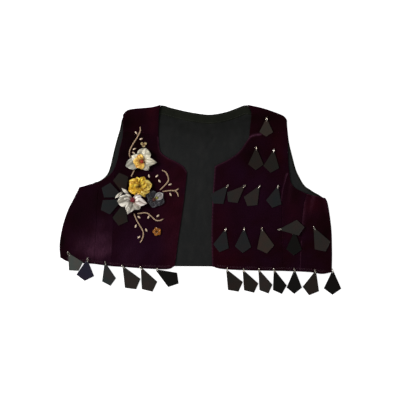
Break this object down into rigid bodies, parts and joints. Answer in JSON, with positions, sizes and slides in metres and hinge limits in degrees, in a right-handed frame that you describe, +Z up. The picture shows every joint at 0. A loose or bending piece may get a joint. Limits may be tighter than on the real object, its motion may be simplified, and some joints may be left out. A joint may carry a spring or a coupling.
{
  "type": "embroidered folk vest laid flat",
  "caption": "Cropped sleeveless velvet vest laid flat and open, with hanging kite-shaped mirror plates on one front and the hems, and satin flowers on the other.",
  "frame": {"origin": "middle of the vest at the surface it lies on", "axes": "+X to the wearer's left, across the vest; +Y from the hem to the shoulders; +Z up, away from the surface it lies on"},
  "size_m": [0.5348, 0.3621, 0.0155],
  "materials": {
    "velvet": "dark burgundy pile, soft sheen at the edges",
    "lining": "matt charcoal plain weave",
    "edging": "matt olive-black plain weave",
    "mirror_plastic": "dark mirror-like, glossy",
    "satin_white": "satin sheen",
    "satin_gold": "satin sheen",
    "organza_dark": "sheer, smoky",
    "satin_orange": "satin sheen",
    "satin_cream": "satin sheen",
    "ring_metal": "polished",
    "gold_cord": "twisted metallic cord",
    "leaf_bead": "pearly",
    "heart_thread": "twisted red thread",
    "sewing_thread": "matt"
  },
  "bodies": {
    "vest": {"armhole_binding_left": "edging", "armhole_binding_right": "edging", "back": "velvet", "back_lining": "lining", "flower_gold": "satin_gold", "flower_sheer": "organza_dark", "flower_small_cream": "satin_cream", "flower_small_orange": "satin_orange", "flower_white_lower": "satin_white", "flower_white_upper": "satin_white", "front_centre_left": "velvet", "front_centre_right": "velvet", "front_side_left": "velvet", "front_side_right": "velvet", "neck_facing": "edging", "plate_fan_1": "mirror_plastic", "plate_fan_2": "mirror_plastic", "plate_fan_3": "mirror_plastic", "plate_fan_4": "mirror_plastic"},
    "pendant_front_1": {"plate_front_1": "mirror_plastic"},
    "pendant_front_2": {"plate_front_2": "mirror_plastic"},
    "pendant_front_3": {"plate_front_3": "mirror_plastic"},
    "pendant_front_4": {"plate_front_4": "mirror_plastic"},
    "pendant_front_5": {"plate_front_5": "mirror_plastic"},
    "pendant_front_6": {"plate_front_6": "mirror_plastic"},
    "pendant_front_7": {"plate_front_7": "mirror_plastic"},
    "pendant_front_8": {"plate_front_8": "mirror_plastic"},
    "pendant_front_9": {"plate_front_9": "mirror_plastic"},
    "pendant_front_10": {"plate_front_10": "mirror_plastic"},
    "pendant_front_11": {"plate_front_11": "mirror_plastic"},
    "pendant_front_12": {"plate_front_12": "mirror_plastic"},
    "pendant_front_13": {"plate_front_13": "mirror_plastic"},
    "pendant_hem_left_1": {"plate_hem_left_1": "mirror_plastic"},
    "pendant_hem_left_2": {"plate_hem_left_2": "mirror_plastic"},
    "pendant_hem_left_3": {"plate_hem_left_3": "mirror_plastic"},
    "pendant_hem_left_4": {"plate_hem_left_4": "mirror_plastic"},
    "pendant_hem_left_5": {"plate_hem_left_5": "mirror_plastic"},
    "pendant_hem_left_6": {"plate_hem_left_6": "mirror_plastic"},
    "pendant_hem_left_7": {"plate_hem_left_7": "mirror_plastic"},
    "pendant_hem_right_1": {"plate_hem_right_1": "mirror_plastic"},
    "pendant_hem_right_2": {"plate_hem_right_2": "mirror_plastic"},
    "pendant_hem_right_3": {"plate_hem_right_3": "mirror_plastic"},
    "pendant_hem_right_4": {"plate_hem_right_4": "mirror_plastic"},
    "pendant_hem_right_5": {"plate_hem_right_5": "mirror_plastic"},
    "pendant_hem_right_6": {"plate_hem_right_6": "mirror_plastic"}
  },
  "joints": [
    {"name": "lift_front_1", "type": "hinge", "parent": "vest", "child": "pendant_front_1", "pos_m": [0.12651, 0.15597, 0.00771], "axis": [-0.9998, 0.0167, 0.0142], "range_deg": [0, 100]},
    {"name": "lift_front_2", "type": "hinge", "parent": "vest", "child": "pendant_front_2", "pos_m": [0.10699, 0.1005, 0.00615], "axis": [-0.9996, 0.0175, -0.024], "range_deg": [0, 100]},
    {"name": "lift_front_3", "type": "hinge", "parent": "vest", "child": "pendant_front_3", "pos_m": [0.14052, 0.096, 0.00621], "axis": [-0.9897, 0.1393, 0.0325], "range_deg": [0, 100]},
    {"name": "lift_front_4", "type": "hinge", "parent": "vest", "child": "pendant_front_4", "pos_m": [0.05449, 0.028, 0.00634], "axis": [-0.777, 0.6294, -0.0128], "range_deg": [0, 100]},
    {"name": "lift_front_5", "type": "hinge", "parent": "vest", "child": "pendant_front_5", "pos_m": [0.08651, 0.0275, 0.00586], "axis": [-0.6944, 0.7194, 0.0167], "range_deg": [0, 100]},
    {"name": "lift_front_6", "type": "hinge", "parent": "vest", "child": "pendant_front_6", "pos_m": [0.11449, 0.0275, 0.00635], "axis": [-0.8571, 0.5151, -0.0113], "range_deg": [0, 100]},
    {"name": "lift_front_7", "type": "hinge", "parent": "vest", "child": "pendant_front_7", "pos_m": [0.14901, 0.02749, 0.00634], "axis": [-0.9656, 0.2586, 0.0254], "range_deg": [0, 100]},
    {"name": "lift_front_8", "type": "hinge", "parent": "vest", "child": "pendant_front_8", "pos_m": [0.0495, -0.054, 0.00594], "axis": [-0.9659, 0.2588, -0.0038], "range_deg": [0, 100]},
    {"name": "lift_front_9", "type": "hinge", "parent": "vest", "child": "pendant_front_9", "pos_m": [0.08399, -0.053, 0.00622], "axis": [-0.9984, 0.0524, -0.0193], "range_deg": [0, 100]},
    {"name": "lift_front_10", "type": "hinge", "parent": "vest", "child": "pendant_front_10", "pos_m": [0.11701, -0.053, 0.0066], "axis": [-0.9778, -0.2082, 0.0226], "range_deg": [0, 100]},
    {"name": "lift_front_11", "type": "hinge", "parent": "vest", "child": "pendant_front_11", "pos_m": [0.148, -0.0575, 0.00881], "axis": [0.1045, -0.9945, -0.0035], "range_deg": [0, 100]},
    {"name": "swing_front_12", "type": "hinge", "parent": "vest", "child": "pendant_front_12", "pos_m": [0.18001, -0.062, 0.00692], "axis": [0.0138, -0.0023, 0.9999], "range_deg": [-10, 10]},
    {"name": "lift_front_13", "type": "hinge", "parent": "vest", "child": "pendant_front_13", "pos_m": [0.21547, -0.0515, 0.00773], "axis": [-0.8972, -0.4388, -0.0502], "range_deg": [0, 100]},
    {"name": "lift_hem_left_1", "type": "hinge", "parent": "vest", "child": "pendant_hem_left_1", "pos_m": [0.05148, -0.13008, 0.00569], "axis": [-0.9069, -0.4128, -0.0847], "range_deg": [0, 100]},
    {"name": "lift_hem_left_2", "type": "hinge", "parent": "vest", "child": "pendant_hem_left_2", "pos_m": [0.08297, -0.13109, 0.00628], "axis": [-0.9205, -0.3783, -0.0977], "range_deg": [0, 100]},
    {"name": "lift_hem_left_3", "type": "hinge", "parent": "vest", "child": "pendant_hem_left_3", "pos_m": [0.11156, -0.13106, 0.00689], "axis": [-0.9171, -0.3958, 0.0472], "range_deg": [0, 100]},
    {"name": "lift_hem_left_4", "type": "hinge", "parent": "vest", "child": "pendant_hem_left_4", "pos_m": [0.13952, -0.13056, 0.00635], "axis": [-0.9455, -0.3256, 0.0001], "range_deg": [0, 100]},
    {"name": "lift_hem_left_5", "type": "hinge", "parent": "vest", "child": "pendant_hem_left_5", "pos_m": [0.17849, -0.13058, 0.00746], "axis": [-0.9999, 0.002, -0.0142], "range_deg": [0, 100]},
    {"name": "lift_hem_left_6", "type": "hinge", "parent": "vest", "child": "pendant_hem_left_6", "pos_m": [0.21795, -0.13259, 0.00876], "axis": [-0.9811, 0.1832, -0.0621], "range_deg": [0, 100]},
    {"name": "lift_hem_left_7", "type": "hinge", "parent": "vest", "child": "pendant_hem_left_7", "pos_m": [0.25133, -0.13158, 0.00855], "axis": [-0.9768, -0.0452, 0.2092], "range_deg": [0, 100]},
    {"name": "swing_hem_right_1", "type": "hinge", "parent": "vest", "child": "pendant_hem_right_1", "pos_m": [-0.25046, -0.1, 0.00924], "axis": [0.0631, -0.0086, 0.998], "range_deg": [-10, 10]},
    {"name": "lift_hem_right_2", "type": "hinge", "parent": "vest", "child": "pendant_hem_right_2", "pos_m": [-0.21334, -0.11108, 0.00913], "axis": [-0.9579, 0.068, 0.2788], "range_deg": [0, 100]},
    {"name": "lift_hem_right_3", "type": "hinge", "parent": "vest", "child": "pendant_hem_right_3", "pos_m": [-0.17998, -0.11708, 0.0074], "axis": [-0.9741, -0.2258, 0.0067], "range_deg": [0, 100]},
    {"name": "lift_hem_right_4", "type": "hinge", "parent": "vest", "child": "pendant_hem_right_4", "pos_m": [-0.14851, -0.12458, 0.00622], "axis": [-0.8674, -0.4905, -0.0841], "range_deg": [0, 100]},
    {"name": "lift_hem_right_5", "type": "hinge", "parent": "vest", "child": "pendant_hem_right_5", "pos_m": [-0.11402, -0.12709, 0.00677], "axis": [-0.8919, -0.4428, -0.0917], "range_deg": [0, 100]},
    {"name": "lift_hem_right_6", "type": "hinge", "parent": "vest", "child": "pendant_hem_right_6", "pos_m": [-0.08148, -0.13058, 0.00622], "axis": [-0.579, -0.8108, -0.0853], "range_deg": [0, 100]}
  ]
}
